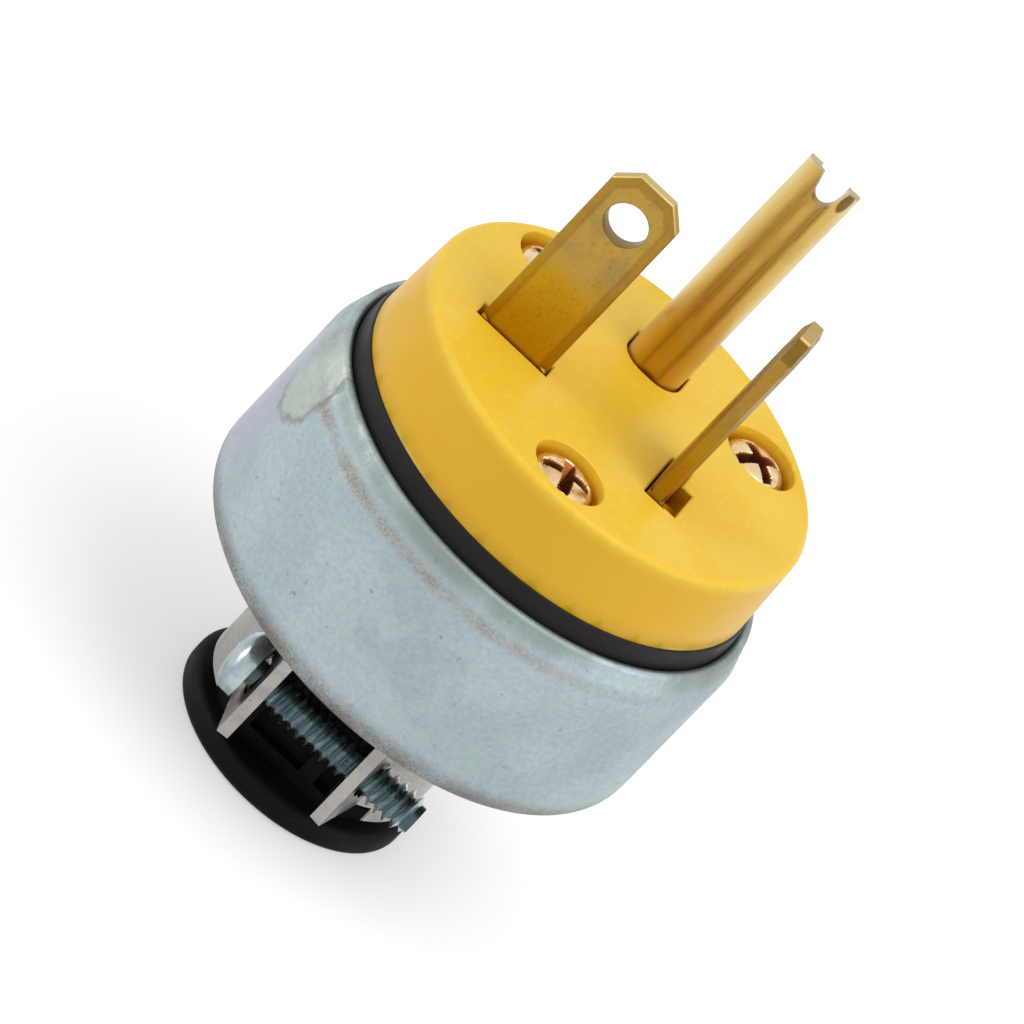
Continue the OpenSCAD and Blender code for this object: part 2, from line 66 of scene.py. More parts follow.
# Vertex attribute of the painted shade on a screw: one in a drive recess, zero on a bare head.
SCREW_SHADE = "recess"
# Least angle in degrees of an edge that is shaded sharp.
SHARP_EDGE = 32.0
# Millimetres within which a solid's loose corners are one.
MERGE_WITHIN = 0.001
# Degrees within which faces side by side are one flat.
FLAT_WITHIN = 0.05
# Upward part of a normal above which a face lies level.
LEVEL_FACE = 0.9999


def mm(length: float) -> float:
    """Millimetres to metres."""
    return length / 1000.0


def metres(place: Triple) -> Vector:
    """A place or size in millimetres as a vector in metres."""
    return Vector([mm(part) for part in place])


def per_mm(size: float) -> float:
    """Texture scale at which one feature of a pattern measures `size` millimetres."""
    return 1000.0 / size


def linear(code: str) -> Colour:
    """Turns an sRGB hex colour to linear by the standard curve.

    Args:
        code: Six hex digits.

    Returns:
        Linear red, green and blue, and an alpha of one.
    """
    parts = [int(code[i:i + 2], 16) / 255.0 for i in (0, 2, 4)]
    red, green, blue = (p / 12.92 if p <= 0.04045 else ((p + 0.055) / 1.055) ** 2.4 for p in parts)
    return red, green, blue, 1.0


def add_node(tree: bpy.types.NodeTree, kind: str, settings: Settings = None,
             inputs: Inputs = None) -> bpy.types.Node:
    """Adds one node with its settings and links.

    Args:
        tree: Tree that takes the node.
        kind: Node type.
        settings: Node properties.
        inputs: Values for the inputs by name or number; a socket is linked.

    Returns:
        The new node.
    """
    node = tree.nodes.new(kind)
    for key, value in (settings or {}).items():
        setattr(node, key, value)
    for key, value in (inputs or {}).items():
        if isinstance(value, Socket):
            tree.links.new(value, node.inputs[key])
        else:
            node.inputs[key].default_value = value
    return node


def put_in_scene(name: str, data: bpy.types.ID) -> bpy.types.Object:
    """Makes an object of a mesh, lamp or camera and links it to the scene."""
    thing = bpy.data.objects.new(name, data)
    bpy.context.scene.collection.objects.link(thing)
    return thing


class Surface:
    """A material under construction: its tree, its shader and the piece's own coordinates."""

    def __init__(self, name: str, shader_inputs: dict[str, Any]) -> None:
        """Starts a material.

        Args:
            name: Material name.
            shader_inputs: Constant values for the shader's sockets.
        """
        self.material = bpy.data.materials.new(name)
        self.material.use_nodes = True
        self.tree = self.material.node_tree
        self.tree.nodes.clear()
        self.shader = self.add("ShaderNodeBsdfPrincipled", None, shader_inputs)
        self.add("ShaderNodeOutputMaterial", None, {"Surface": self.shader.outputs[0]})
        self.coords = self.add("ShaderNodeTexCoord").outputs["Object"]

    def add(self, kind: str, settings: Settings = None, inputs: Inputs = None) -> bpy.types.Node:
        """Adds a node to this material's tree."""
        return add_node(self.tree, kind, settings, inputs)

    def out(self, kind: str, settings: Settings, inputs: Inputs, output: int = 0) -> Socket:
        """Adds a node and gives one of its outputs."""
        return self.add(kind, settings, inputs).outputs[output]

    def between(self, value: Socket, low: float, high: float) -> Socket:
        """Mask that runs smoothly from zero where a value is `low` to one where it is `high`."""
        return self.out("ShaderNodeMapRange", {"interpolation_type": "SMOOTHSTEP"},
                        {"Value": value, "From Min": low, "From Max": high})

    def mask(self, kind: str, inputs: Inputs, low: float, high: float, settings: Settings = None,
             output: int = 0) -> Socket:
        """Turns a pattern into a mask.

        Args:
            kind: Pattern node type.
            inputs: Pattern inputs.
            low: Pattern value where the mask is zero.
            high: Pattern value where the mask is one.
            settings: Pattern settings.
            output: Pattern output that is read.

        Returns:
            Socket with the mask, from zero to one.
        """
        return self.between(self.out(kind, settings, inputs, output), low, high)

    def patches(self, size: float, detail: float) -> dict[str, Any]:
        """Inputs of a noise whose patches measure `size` millimetres."""
        return {"Vector": self.coords, "Scale": per_mm(size), "Detail": detail}

    def streaks(self, size: Triple, detail: float, place: Triple = (0, 0, 0), turn: float = 0.0) -> dict[str, Any]:
        """Inputs of a noise whose streaks measure the given millimetres along each axis."""
        return {"Vector": self.stretched(size, place, turn), "Scale": 1.0, "Detail": detail}

    def stretched(self, size: Triple, place: Triple = (0, 0, 0), turn: float = 0.0) -> Socket:
        """Coordinates centred on a place and counted in the given millimetres along each axis."""
        return self.out("ShaderNodeMapping", {"vector_type": "TEXTURE"},
                        {"Vector": self.coords, "Location": metres(place),
                         "Rotation": (0.0, 0.0, math.radians(turn)), "Scale": metres(size)})

    def rising(self, axis: int, levels: Pair) -> Socket:
        """Mask that runs from zero to one between two places along an axis, in millimetres."""
        return self.mask(SPLIT, {0: self.coords}, mm(levels[0]), mm(levels[1]), None, axis)

    def near(self, spot: Socket, outer: float, inner: float) -> Socket:
        """Mask of what lies near the middle of some coordinates: zero past `outer`, one within `inner`."""
        return self.mask(VECTOR_MATH, {0: spot}, outer, inner, {"operation": "LENGTH"}, 1)

    def line(self, value: Socket, level: float, outer: float, inner: float) -> Socket:
        """Mask of a line where a value is at a level: zero `outer` away from it, one within `inner`."""
        off = self.out(MATH, {"operation": "SUBTRACT"}, {0: value, 1: level})
        return self.mask(MATH, {0: off}, outer, inner, {"operation": "ABSOLUTE"})

    def both(self, first: Socket, second: Socket | float) -> Socket:
        """Mask where both masks hold, or the first one scaled."""
        return self.out(MATH, {"operation": "MULTIPLY"}, {0: first, 1: second})

    def layered(self, base: str, layers: list[tuple[Socket, float, str]]) -> Socket:
        """Lays colours over a base, each through its mask.

        Args:
            base: sRGB hex colour at the bottom.
            layers: Masks with their strengths and sRGB hex colours, from the bottom up.

        Returns:
            Socket with the finished colour.
        """
        tone: Socket | Colour = linear(base)
        for mask, strength, code in layers:
            tone = self.out("ShaderNodeMix", MIX_COLOUR,
                            {0: self.both(mask, strength), 6: tone, 7: linear(code)}, 2)
        return tone

    def dress(self, colour: Socket, rough: Socket, rough_range: Pair, height: Socket,
              depth: float) -> bpy.types.Material:
        """Links colour, roughness and relief to the shader.

        Args:
            colour: Base colour.
            rough: Pattern that varies the roughness.
            rough_range: Roughness where that pattern is low and where it is high.
            height: Relief pattern.
            depth: Depth of the relief in millimetres.

        Returns:
            The finished material.
        """
        spread = self.out("ShaderNodeMapRange", None,
                          {"Value": rough, "From Min": ROUGH_FROM[0], "From Max": ROUGH_FROM[1],
                           "To Min": rough_range[0], "To Max": rough_range[1]})
        bump = self.out("ShaderNodeBump", None, {"Height": height, "Strength": 1.0, "Distance": mm(depth)})
        for key, socket in (("Base Color", colour), ("Roughness", spread), ("Normal", bump)):
            self.tree.links.new(socket, self.shader.inputs[key])
        return self.material


@dataclass(frozen=True)
class ZincPlatedShell:
    """Deep drawn steel, electro-galvanised: matt blue-grey, fine grained, with cloudy tints, a rubbed crease,
    painted brown shade on the shoulder and a painted violet sheen on the left flank.

    A pair of places is where a mark begins and where it is full, and a sink is counted in heights of the grain.
    """

    crease_z: float = 29.9
    crease_half: Pair = (0.85, 0.1)
    crease_sink: float = 3.0
    worn_x: Pair = (22.0, -4.0)
    worn_y: Pair = (-9.0, -12.0)
    shoulder_shade_z: Pair = (18.4, 16.0)
    rim_z: Pair = (30.3, 31.5)
    sheen_at: Triple = (-19.0, -3.0, 21.5)
    sheen_half: Triple = (9.0, 8.0, 7.0)
    dent_at: Triple = (-18.13, -7.7, 29.6)
    dent_half: Triple = (6.0, 4.3, 4.3)
    dent_turn: float = 203.0
    dent_sway: float = 0.4
    dent_sink: float = 1.2
    rough: Pair = (0.48, 0.58)
    relief: float = 0.02

    def dent_spot(self, s: Surface) -> Socket:
        """Coordinates from the dent's middle, in its half lengths, with its outline made uneven."""
        warp = s.out(NOISE, None, s.patches(1.1, 5.0), 1)
        bent = s.out(VECTOR_MATH, {"operation": "MULTIPLY_ADD"},
                     {0: warp, 1: (self.dent_sway,) * 3,
                      2: s.stretched(self.dent_half, self.dent_at, self.dent_turn)})
        return s.out(VECTOR_MATH, {"operation": "SUBTRACT"}, {0: bent, 1: (self.dent_sway / 2,) * 3})

    def material(self) -> bpy.types.Material:
        """Builds the shell's finish."""
        s = Surface("zinc_plated_shell", {"Metallic": 1.0})
        cloud = s.mask(NOISE, s.patches(8, 4.0), 0.35, 0.65)
        grain = s.mask(NOISE, s.patches(0.45, 4.0), 0.3, 0.7)
        green = s.mask(NOISE, s.streaks((1.8, 1.8, 1.2), 2.0, (0, 7, 2)), 0.5, 0.7)
        pit = s.mask(NOISE, s.patches(0.7, 3.0), 0.66, 0.78)
        scratch = s.mask(NOISE, s.streaks((0.6, 0.6, 0.05), 3.0, turn=20), 0.6, 0.72)
        patchy = s.mask(NOISE, s.patches(3.5, 5.0), 0.22, 0.6)
        # The rub's own speckle is finer than a pixel, so it is drawn at a fifth of a millimetre.
        crumb = s.mask(NOISE, s.patches(0.2, 2.0), 0.3, 0.72)
        height = s.out(SPLIT, None, {0: s.coords}, 2)
        crease = s.line(height, mm(self.crease_z), mm(self.crease_half[0]), mm(self.crease_half[1]))
        sides = s.both(s.rising(0, self.worn_x), s.rising(1, self.worn_y))
        worn = s.both(s.both(crease, sides), patchy)
        # Painted shade, mottled brown, on the shoulder at the lower bend of the shell.
        shoulder_shade = s.rising(2, self.shoulder_shade_z)
        rim = s.rising(2, self.rim_z)
        # Painted violet sheen on the left flank of the shell.
        stain_and_sheen = s.near(s.stretched(self.sheen_half, self.sheen_at), 1.0, 0.2)
        dent = self.dent_spot(s)
        inside = s.near(dent, 1.0, 0.85)
        fringe = s.near(dent, 1.12, 0.98)
        right = s.mask(SPLIT, {0: dent}, -1.0, 0.0, None, 1)
        tone = s.layered("AEBBBF", [
            (cloud, 0.5, "9FACB2"), (grain, 0.38, "909DA3"), (green, 0.35, "A9B9AE"),
            (stain_and_sheen, 0.5, "B4AABF"), (scratch, 0.36, "7F878B"), (pit, 0.55, "6A6D6D"),
            (s.both(rim, cloud), 0.85, "88938E"), (worn, 0.5, "A69F97"), (s.both(worn, crumb), 0.7, "85746A"),
            (s.both(shoulder_shade, patchy), 0.9, "7F766E"), (s.both(shoulder_shade, crumb), 0.8, "645C56"),
            (s.both(s.both(fringe, right), patchy), 0.675, "77716A"), (s.both(inside, right), 0.7, "BAC4BC"),
            (s.both(inside, s.both(grain, cloud)), 0.6, "8B8F8A")])
        groove = s.out(MATH, {"operation": "MULTIPLY_ADD"}, {0: crease, 1: -self.crease_sink, 2: grain})
        relief = s.out(MATH, {"operation": "MULTIPLY_ADD"}, {0: inside, 1: -self.dent_sink, 2: groove})
        return s.dress(tone, cloud, self.rough, relief, self.relief)


@dataclass(frozen=True)
class SheetSteel:
    """Cold rolled steel strip, stamped and bent: a warm grey, finely drawn surface with dull handling marks."""

    light: str = "B3B0AB"
    dark: str = "9B9893"
    rough: Pair = (0.3, 0.46)
    relief: float = 0.01

    def material(self) -> bpy.types.Material:
        """Builds the strip's finish."""
        s = Surface("strap_sheet_steel", {"Metallic": 1.0})
        drawn = s.mask(NOISE, s.streaks((1.2, 1.2, 0.04), 3.0), 0.3, 0.7)
        dull = s.mask(NOISE, s.patches(3, 4.0), 0.45, 0.7)
        spot = s.mask(NOISE, s.patches(0.8, 3.0), 0.66, 0.74)
        tone = s.layered(self.light, [(drawn, 1.0, self.dark), (dull, 0.5, "8E8985"), (spot, 0.5, "66605B")])
        grain = s.out(NOISE, None, s.patches(0.25, 2.0))
        return s.dress(tone, dull, self.rough, grain, self.relief)


@dataclass(frozen=True)
class PlatedScrewSteel:
    """Cut or cold headed screw steel with a thin plate: smooth, bright, and dull where it is recessed, with
    painted shade there.
    """

    name: str
    light: str
    dark: str
    stain_and_sheen: str
    rough: Pair = (0.2, 0.34)
    pressed: str = "4A4440"
    stained: float = 0.6
    relief: float = 0.004

    def material(self) -> bpy.types.Material:
        """Builds a screw's finish, on which the attribute of the recess paints shade from its first trace on."""
        s = Surface(self.name, {"Metallic": 1.0})
        cloud = s.mask(NOISE, s.patches(1.4, 3.0), 0.35, 0.7)
        stain_and_sheen = s.mask(NOISE, s.patches(0.8, 4.0), 0.58, 0.75)
        # Painted shade in the drive recess, on the shank and along the thread.
        depth = s.mask("ShaderNodeAttribute", {}, 0.01, 0.15, {"attribute_name": SCREW_SHADE}, 2)
        tone = s.layered(self.light, [
            (cloud, 1.0, self.dark), (stain_and_sheen, self.stained, self.stain_and_sheen), (depth, 0.92, self.pressed)])
        grain = s.out(NOISE, None, s.patches(0.2, 2.0))
        dull = s.out(MATH, {"operation": "MAXIMUM"}, {0: cloud, 1: depth})
        return s.dress(tone, dull, self.rough, grain, self.relief)


@dataclass(frozen=True)
class MouldedNylon:
    """Injection moulded nylon, dyed yellow: a satin skin with faint flow clouds, a deeper tone of painted shade on
    its side and in its openings, and a painted highlight of the flash at its foot.

    A pair of heights is where a tone begins and where it is full.
    """

    side_shade_z: Pair = (40.7, 39.6)
    flash_highlight_z: Pair = (34.27, 34.07)
    rim_r: float = 16.7
    rough: Pair = (0.38, 0.5)
    relief: float = 0.015

    def material(self) -> bpy.types.Material:
        """Builds the front face's finish."""
        s = Surface("yellow_moulded_nylon", {"IOR": 1.53, "Specular IOR Level": 0.34})
        flow = s.mask(NOISE, s.patches(7, 3.0), 0.35, 0.7)
        pale = s.mask(NOISE, s.streaks((0.8, 0.8, 0.8), 3.0, (9, 2, 1)), 0.5, 0.75)
        mark = s.mask(NOISE, s.streaks((0.1, 0.32, 0.32), 3.0), 0.7, 0.76)
        # Painted shade on the side below the front.
        side = s.rising(2, self.side_shade_z)
        # Painted highlight of the moulding flash round the foot.
        flash_highlight = s.rising(2, self.flash_highlight_z)
        # Within the rim; with the side mask it paints shade in the face's openings.
        hole = s.near(s.stretched((self.rim_r, self.rim_r, ENDLESS)), 1.0, 0.99)
        tone = s.layered("F3C936", [
            (flow, 0.6, "EEBF28"), (pale, 0.5, "F8D351"), (side, 0.75, "E5AE18"), (mark, 0.35, "C99B2A"),
            (s.both(side, hole), 0.7, "DE9510"), (s.both(flash_highlight, flow), 0.6, "F3DD92")])
        grain = s.out(NOISE, None, s.patches(0.5, 3.0))
        return s.dress(tone, flow, self.rough, grain, self.relief)


@dataclass(frozen=True)
class BlackMoulding:
    """Black moulded polymer: nearly black, a soft semi-gloss with a fine moulded grain and grey dust."""

    name: str
    deep: str = "131110"
    worn: str = "1D1A18"
    rough: Pair = (0.46, 0.58)
    gloss: float = 0.2
    relief: float = 0.02

    def material(self) -> bpy.types.Material:
        """Builds the moulding's finish."""
        s = Surface(self.name, {"IOR": 1.5, "Specular IOR Level": self.gloss})
        cloud = s.mask(NOISE, s.patches(4, 4.0), 0.35, 0.7)
        dust = s.mask(NOISE, s.patches(0.5, 3.0), 0.68, 0.76)
        tone = s.layered(self.deep, [(cloud, 1.0, self.worn), (dust, 0.35, "4A443F")])
        grain = s.out(NOISE, None, s.patches(0.35, 3.0))
        return s.dress(tone, cloud, self.rough, grain, self.relief)


@dataclass(frozen=True)
class StampedBrass:
    """Stamped brass strip: a matt olive gold middle in a browner coined margin, with a painted orange reflection
    of the face at its foot.

    Sizes are in millimetres, heights of marks are counted from the tip, and of a pair the second is where
    the mark is full. The end face has a tone of its own; the corner cuts take painted light, a cream highlight
    (partly a bright worn edge) on one blade and dark shade on the other; the wall of the hole takes painted shade.
    """

    name: str
    centre: Pair
    axis: int
    half: float = 3.175
    tip_z: float = 58.15
    bore_z: float = 54.4
    bore_r: float = 1.78
    corner: Pair = (1.6, 1.65)
    margin: float = 0.75
    margin_half: float = 0.1
    line_half: Pair = (0.22, 0.04)
    rim: Pair = (0.16, 0.04)
    bevel_up: Pair = (-1.85, -1.55)
    end_up: Pair = (-0.22, -0.08)
    foot_down: Pair = (8.8, 11.6)
    foot_wave: float = 1.2
    end: str = "CDB578"
    # Painted light on the corner cuts: by default a cream highlight, partly a bright worn edge.
    bevel: str = "CDB578"
    rough: Pair = (0.32, 0.42)
    relief: float = 0.006

    def inset(self, s: Surface, across: Socket, below: Socket) -> Socket:
        """Distance in millimetres from the blade's outline.

        Args:
            s: The finish under construction.
            across: Place across the blade from its middle, in millimetres.
            below: Distance below the tip, in millimetres.

        Returns:
            Socket with the distance.
        """
        wide, tall = self.corner
        slant = math.hypot(wide, tall)
        off = s.out(MATH, {"operation": "ABSOLUTE"}, {0: across})
        side = s.out(MATH, {"operation": "SUBTRACT"}, {0: self.half, 1: off})
        first = s.out(MATH, {"operation": "MULTIPLY_ADD"}, {0: side, 1: tall / slant, 2: -wide * tall / slant})
        cut = s.out(MATH, {"operation": "MULTIPLY_ADD"}, {0: below, 1: wide / slant, 2: first})
        nearest = s.out(MATH, {"operation": "MINIMUM"}, {0: side, 1: below})
        return s.out(MATH, {"operation": "MINIMUM"}, {0: nearest, 1: cut})

    def material(self) -> bpy.types.Material:
        """Builds the finish of one blade, whose rolled grain runs along Z."""
        s = Surface(self.name, {"Metallic": 1.0})
        drawn = s.mask(NOISE, s.streaks((0.06, 0.06, 0.8), 3.0), 0.3, 0.72)
        cloud = s.mask(NOISE, s.patches(2.6, 4.0), 0.4, 0.68)
        fleck = s.mask(NOISE, s.patches(0.35, 3.0), 0.5, 0.72)
        spot = s.add(SPLIT, None, {0: s.stretched((1, 1, 1), (*self.centre, self.tip_z))})
        up = spot.outputs[2]
        below = s.both(up, -1.0)
        inset = self.inset(s, spot.outputs[self.axis], below)
        line = s.line(inset, self.margin, *self.line_half)
        margin = s.between(inset, self.margin + self.margin_half, self.margin - self.margin_half)
        rim = s.between(inset, *self.rim)
        # Painted light on the corner cuts near the tip, in the blade's corner colour.
        painted_corner = s.both(rim, s.between(up, *self.bevel_up))
        end = s.both(rim, s.between(up, *self.end_up))
        # Painted shade on the wall of the hole.
        reach = [ENDLESS, ENDLESS, self.bore_r]
        reach[self.axis] = self.bore_r
        bore = s.near(s.stretched(tuple(reach), (*self.centre, self.bore_z)), 1.03, 0.98)
        # Painted reflection of the yellow face, orange up the foot.
        wavy = s.out(MATH, {"operation": "MULTIPLY_ADD"}, {0: cloud, 1: self.foot_wave, 2: below})
        foot = s.between(wavy, *self.foot_down)
        tone = s.layered("B39146", [
            (drawn, 0.5, "A48339"), (cloud, 0.5, "968351"), (fleck, 0.35, "846932"), (foot, 0.85, "B98F10"),
            (s.both(foot, fleck), 0.3, "966807"), (margin, 0.5, "93691D"), (line, 0.18, "6E4C17"),
            (painted_corner, 0.75, self.bevel), (end, 0.9, self.end), (bore, 0.8, "7A6236")])
        return s.dress(tone, cloud, self.rough, drawn, self.relief)


@dataclass(frozen=True)
class FormedBrass:
    """Brass sheet folded round a mandrel: smooth pale gold, dark with painted shade in the two lines at the edges
    of its groove, inside the fold and on the faces that look up, with a painted highlight on its bends and a
    painted reflection of the face at its foot.

    Sizes are in millimetres, heights are counted from the face, and of a pair the second is where the mark is
    full. The horn is the shaded wall of the notch on one side of the tip.
    """

    line_x: float = 0.82
    line_half: Pair = (0.3, 0.0)
    bend_highlight_x: Pair = (1.6, 2.4)
    middle_x: Pair = (1.1, 0.7)
    foot_up: Pair = (9.0, 2.0)
    face_z: float = 41.0
    fold_at: Triple = (0.0, 8.9, 50.0)
    fold_half: Triple = (1.37, 2.5, 900.0)
    horn_at: Triple = (1.84, 5.5, 62.3)
    horn_half: Triple = (0.42, 1.5, 1.15)
    rough: Pair = (0.34, 0.44)
    relief: float = 0.002

    def material(self) -> bpy.types.Material:
        """Builds the ground pin's finish."""
        s = Surface("formed_pin_brass", {"Metallic": 1.0})
        drawn = s.mask(NOISE, s.streaks((0.08, 0.08, 1.2), 3.0), 0.3, 0.72)
        cloud = s.mask(NOISE, s.patches(3, 3.0), 0.4, 0.68)
        spot = s.add(SPLIT, None, {0: s.stretched((1, 1, 1), (0.0, 0.0, self.face_z))})
        across = s.out(MATH, {"operation": "ABSOLUTE"}, {0: spot.outputs[0]})
        # Painted shade in two lines along the edges of the groove down the front.
        line = s.line(across, self.line_x, *self.line_half)
        # Painted highlight on the bends at either side.
        bend_highlight = s.between(across, *self.bend_highlight_x)
        middle = s.between(across, *self.middle_x)
        # Painted reflection of the yellow face, deeper gold up the foot.
        foot = s.between(spot.outputs[2], *self.foot_up)
        # Painted shade inside the fold.
        inner = s.near(s.stretched(self.fold_half, self.fold_at), 1.04, 0.98)
        horn = s.near(s.stretched(self.horn_half, self.horn_at), 1.15, 0.85)
        # Painted shade on the faces that look up, at the tip and in the notch.
        normal = s.add("ShaderNodeTexCoord").outputs["Normal"]
        end = s.mask(SPLIT, {0: normal}, 0.5, 0.8, None, 2)
        tone = s.layered("CEAE62", [
            (drawn, 0.2, "BD9A4C"), (cloud, 0.25, "BFA05A"), (middle, 0.45, "BA9341"), (foot, 0.55, "C0921C"),
            (bend_highlight, 0.5, "E8DAAA"), (line, 0.5, "8A6420"), (inner, 0.8, "6A4A1A"), (end, 0.7, "A08A58"),
            (horn, 0.85, "5A4522")])
        return s.dress(tone, cloud, self.rough, drawn, self.relief)


@dataclass(frozen=True)
class PhenolicMoulding:
    """Compression moulded phenolic: dense dark brown with a short pale fill."""

    rough: Pair = (0.4, 0.52)
    relief: float = 0.01

    def material(self) -> bpy.types.Material:
        """Builds the terminal block's finish."""
        s = Surface("brown_phenolic", {"IOR": 1.6})
        cloud = s.mask(NOISE, s.patches(3, 4.0), 0.35, 0.7)
        fill = s.mask(NOISE, s.streaks((0.28, 0.06, 0.06), 2.0), 0.66, 0.76)
        tone = s.layered("4A2F22", [(cloud, 1.0, "3A241A"), (fill, 0.5, "7C5D47")])
        return s.dress(tone, cloud, self.rough, fill, self.relief)


class Finishes:
    """The plug's materials, one for each finish on it."""

    def __init__(self) -> None:
        """Builds every material once."""
        # Zinc plated drawn steel: matt, blue-grey, rubbed brown on its crease, with painted brown shade on its
        # shoulder.
        self.shell = ZincPlatedShell().material()
        # Bare cold rolled strip: warmer and duller than the shell, with drawn lines.
        self.strap = SheetSteel().material()
        # Zinc plated machine screw: blue-white glints on the head, painted shade in the thread and slot.
        self.clamp_screw = PlatedScrewSteel("zinc_plated_screw", light="B4C0C2", dark="8FA0A3", stain_and_sheen="5F6A6B",
                                            pressed="3F5052", stained=0.2).material()
        # Brass plated screws: cream facets round a cross recess painted copper-brown as shade.
        self.face_screw = PlatedScrewSteel("pale_brass_screw", light="EDD6AA", dark="E0BC86", stain_and_sheen="A8672C",
                                           rough=(0.18, 0.4), pressed="7A380C").material()
        # Dyed nylon: an even satin yellow, with painted shade a little deeper on its side and in its openings, and
        # a painted highlight of the flash at its foot.
        self.nylon = MouldedNylon().material()
        # Rigid black polymer liner: its lip is the dark band, a little glossy.
        self.band = BlackMoulding("black_liner_plastic").material()
        # Soft black rubber bushing: the darkest piece, nearly matt.
        self.rubber = BlackMoulding("black_bushing_rubber", deep="0C0B0A", worn="141211", rough=(0.5, 0.64),
                                    gloss=0.1).material()
        # Stamped brass blade seen on its edge: tan end face over a corner cut painted dark as shade.
        self.line_brass = StampedBrass("line_blade_brass", centre=(6.35, -4.4), axis=1, end="C4A668",
                                       bevel="4A3514").material()
        # Stamped brass blade seen flat: olive middle, brown margin, orange foot where the face shines on it.
        self.neutral_brass = StampedBrass("neutral_blade_brass", centre=(-8.85, -4.4), axis=0).material()
        # Folded brass sheet: paler and smoother than the blades, two lines of painted shade down its front at the
        # edges of its groove.
        self.ground_brass = FormedBrass().material()
        # Phenolic block inside the shell: dark brown with short fibres.
        self.phenolic = PhenolicMoulding().material()
        # Plain brass terminals inside the shell: warm and a little dull.
        self.terminal = PlatedScrewSteel("terminal_brass", light="C9A552", dark="A88436", stain_and_sheen="7A5A26",
                                         rough=(0.28, 0.42)).material()
        # Nickel plated neutral terminal: a warm silver that tells it from the brass one.
        self.nickel = PlatedScrewSteel("nickel_plated_screw", light="CFCABF", dark="B4AEA2",
                                       stain_and_sheen="7C756A").material()
        # Green dyed ground screw: the dye lies thin over bright steel.
        self.green = PlatedScrewSteel("green_dyed_screw", light="4F8A4A", dark="3C7040",
                                      stain_and_sheen="24492B").material()


def make_piece(mesh: bpy.types.Mesh, name: str, material: bpy.types.Material,
               nodes: tuple[str, ...]) -> bpy.types.Object:
    """Hands a finished mesh to the frame.

    Args:
        mesh: Mesh with its place in its vertices.
        name: Piece name.
        material: Its finish.
        nodes: CAD nodes that the piece stands for.

    Returns:
        The piece, riding on the plug's body.
    """
    mesh.materials.clear()
    mesh.materials.append(material)
    piece = put_in_scene(name, mesh)
    mesh.polygons.foreach_set("use_smooth", [True] * len(mesh.polygons))
    mesh.set_sharp_from_angle(angle=math.radians(SHARP_EDGE))
    weighted = piece.modifiers.new("even_shading", "WEIGHTED_NORMAL")
    weighted.keep_sharp = True
    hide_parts(*nodes)
    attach(piece, BODY)
    LOG.info("%s: %d faces", name, len(mesh.polygons))
    return piece


def softened_mesh(node: str, width: float, segments: int = 2, angle: float = 40.0,
                  keep: Callable[[Vector], bool] | None = None, turned: bool = False) -> bpy.types.Mesh:
    """Copies a CAD node, merges it and rounds its sharp edges.

    Args:
        node: CAD node to copy.
        width: Width of the rounding in millimetres.
        segments: Faces across a rounding.
        angle: Least angle in degrees of an edge that is rounded.
        keep: Says from an edge's middle, in millimetres, whether it is rounded.
        turned: Whether the node is a turned form, on which only faces that look up are merged.

    Returns:
        A new mesh in the plug's frame.
    """
    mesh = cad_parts[node].data.copy()
    mesh.name = node + "_softened"
    bm = bmesh.new()
    bm.from_mesh(mesh)
    bmesh.ops.remove_doubles(bm, verts=bm.verts, dist=mm(MERGE_WITHIN))
    flats = [e for e in bm.edges if not turned or all(f.normal.z > LEVEL_FACE for f in e.link_faces)]
    bmesh.ops.dissolve_limit(bm, angle_limit=math.radians(FLAT_WITHIN), verts=[] if turned else bm.verts,
                             edges=flats)
    sharp = []
    for edge in bm.edges:
        if len(edge.link_faces) != 2 or edge.calc_face_angle(0.0) < math.radians(angle):
            continue
        middle = (edge.verts[0].co + edge.verts[1].co) / 2.0 / mm(1.0)
        if keep is None or keep(middle):
            sharp.append(edge)
    bmesh.ops.bevel(bm, geom=sharp, offset=mm(width), offset_type="OFFSET", segments=segments,
                    profile=0.5, affect="EDGES", clamp_overlap=True)
    bm.to_mesh(mesh)
    bm.free()
    return mesh


class Drive(Enum):
    """Form of the recess in a screw's head."""

    CROSS = "cross"
    SLOT = "slot"


